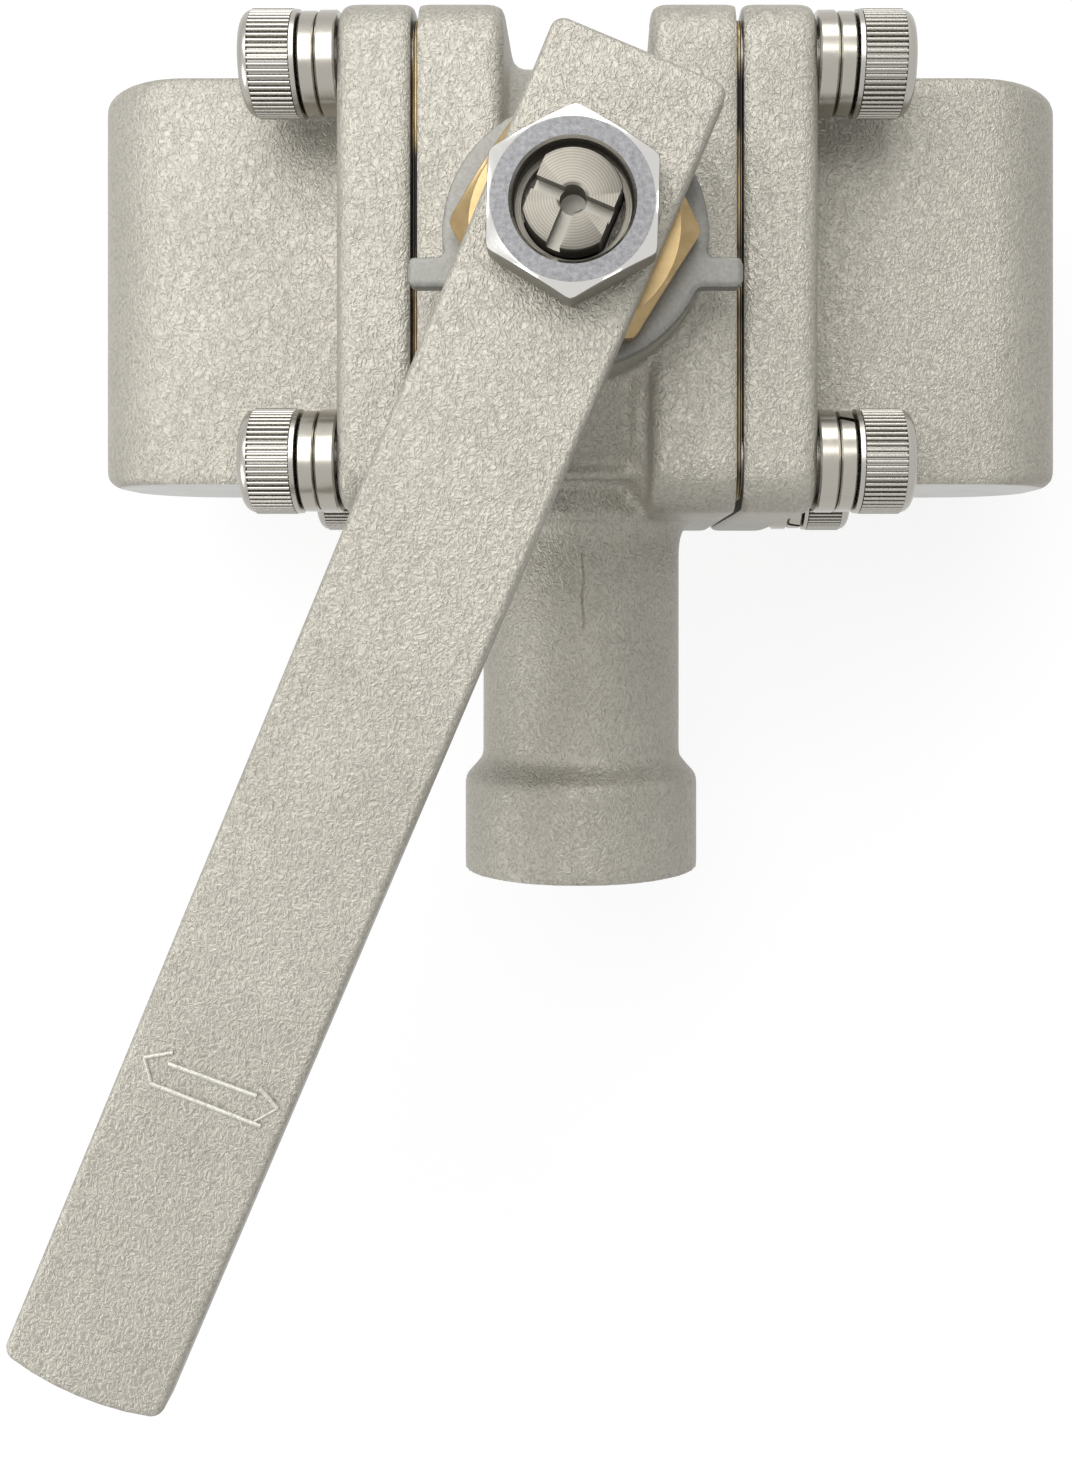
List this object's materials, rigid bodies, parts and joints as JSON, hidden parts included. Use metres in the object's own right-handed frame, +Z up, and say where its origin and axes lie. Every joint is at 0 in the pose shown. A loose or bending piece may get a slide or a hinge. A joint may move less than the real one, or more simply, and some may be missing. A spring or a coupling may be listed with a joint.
{
  "type": "three-way ball valve",
  "caption": "Cast stainless three-way ball valve with a lever, square bolted flanges, elbow end caps, a downward inlet branch and a brass gland nut.",
  "frame": {"origin": "on the stem's axis, on the plane that the backs of the flanges and the foot rest on", "axes": "+Z up the stem towards the lever, +X along the run from the left end cap to the right one, the inlet branch points to -Y"},
  "size_m": [0.216, 0.2683, 0.1445],
  "materials": {
    "cast_stainless": "shot-blasted investment casting",
    "machined_stainless": "fine turned and milled",
    "bright_steel": "bright polished",
    "brass": "bright machined brass",
    "grey_plate": "matt grey blasted plate",
    "laminated_gasket": "laminated fibre and metal foil",
    "ptfe": "smooth white",
    "graphite": "pressed graphite",
    "spring_steel": "oiled spring steel"
  },
  "bodies": {
    "valve_body": {"body": "cast_stainless", "end_cap_left": "cast_stainless", "body_gasket_left": "laminated_gasket", "seat_left": "ptfe", "end_cap_right": "cast_stainless", "body_gasket_right": "laminated_gasket", "seat_right": "ptfe", "thrust_washer": "ptfe", "packing_ring_lower": "graphite", "packing_ring_middle": "graphite", "packing_ring_upper": "graphite", "gland_follower": "machined_stainless", "disc_spring_lower": "spring_steel", "disc_spring_upper": "spring_steel", "gland_nut": "brass", "stop_plate": "grey_plate", "stop_dowel_left": "bright_steel", "stop_dowel_right": "bright_steel", "cap_screw_left_upper_front": "bright_steel", "cap_screw_left_upper_back": "bright_steel", "cap_screw_left_lower_front": "bright_steel", "cap_screw_left_lower_back": "bright_steel", "cap_screw_right_upper_front": "bright_steel", "cap_screw_right_upper_back": "bright_steel", "cap_screw_right_lower_front": "bright_steel", "cap_screw_right_lower_back": "bright_steel", "lock_washer_left_upper_front": "bright_steel", "lock_washer_left_upper_back": "bright_steel", "lock_washer_left_lower_front": "bright_steel", "lock_washer_left_lower_back": "bright_steel", "lock_washer_right_upper_front": "bright_steel", "lock_washer_right_upper_back": "bright_steel", "lock_washer_right_lower_front": "bright_steel", "lock_washer_right_lower_back": "bright_steel", "flat_washer_left_upper_front": "bright_steel", "flat_washer_left_upper_back": "bright_steel", "flat_washer_left_lower_front": "bright_steel", "flat_washer_left_lower_back": "bright_steel", "flat_washer_right_upper_front": "bright_steel", "flat_washer_right_upper_back": "bright_steel", "flat_washer_right_lower_front": "bright_steel", "flat_washer_right_lower_back": "bright_steel"},
    "lever_group": {"lever": "cast_stainless", "stem_nut": "machined_stainless", "stem": "machined_stainless", "ball": "machined_stainless"}
  },
  "joints": [
    {"name": "lever_turn", "type": "hinge", "parent": "valve_body", "child": "lever_group", "pos_m": [0, 0, 0.1304], "axis": [0, 0, 1], "range_deg": [-67.2, 112.8]}
  ]
}
